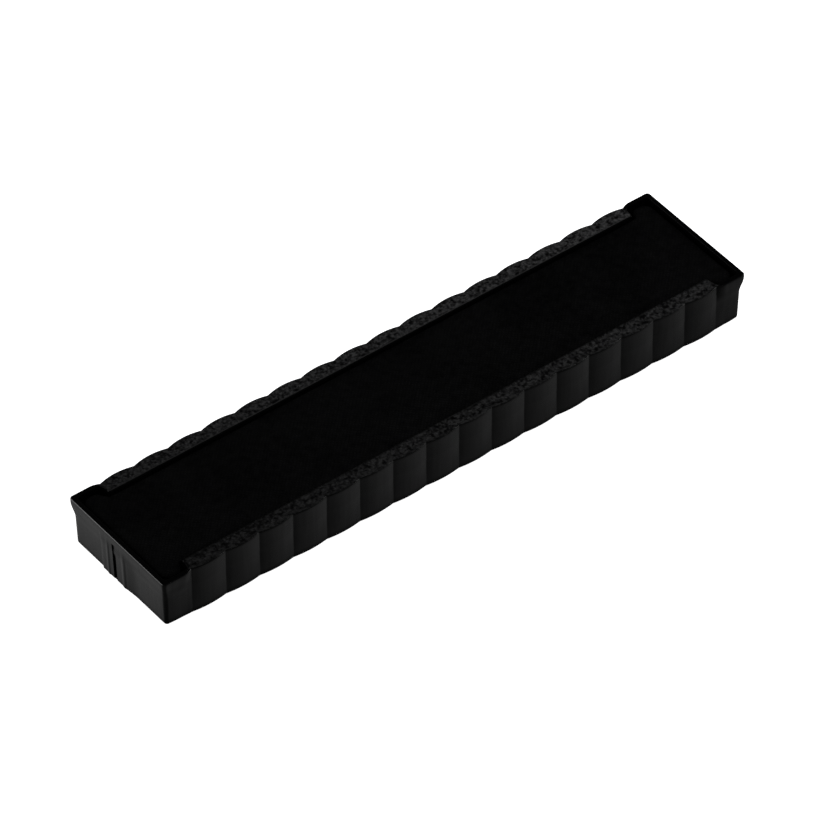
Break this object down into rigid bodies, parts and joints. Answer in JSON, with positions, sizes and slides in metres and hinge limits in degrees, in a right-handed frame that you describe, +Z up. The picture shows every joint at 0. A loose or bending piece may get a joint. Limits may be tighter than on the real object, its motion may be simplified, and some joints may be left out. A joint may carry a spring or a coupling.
{
  "type": "ink pad cartridge",
  "caption": "Long slim ink pad cartridge: plastic tray with scalloped finger grips, guide flanges at both ends and a cloth-covered foam pad.",
  "frame": {"origin": "centre of the flat underside", "axes": "+X along the length, +Y across the width, +Z up out of the inking face"},
  "size_m": [0.0798, 0.0172, 0.0066],
  "materials": {
    "casing": "satin black moulded plastic, etched on the top lands",
    "felt": "black ink-soaked felt",
    "foam": "black ink-soaked foam",
    "cloth": "fine black woven cover, damp with ink"
  },
  "bodies": {
    "root": {"casing": "casing", "reservoir_felt": "felt", "foam_core": "foam", "cover_cloth": "cloth"}
  },
  "joints": []
}
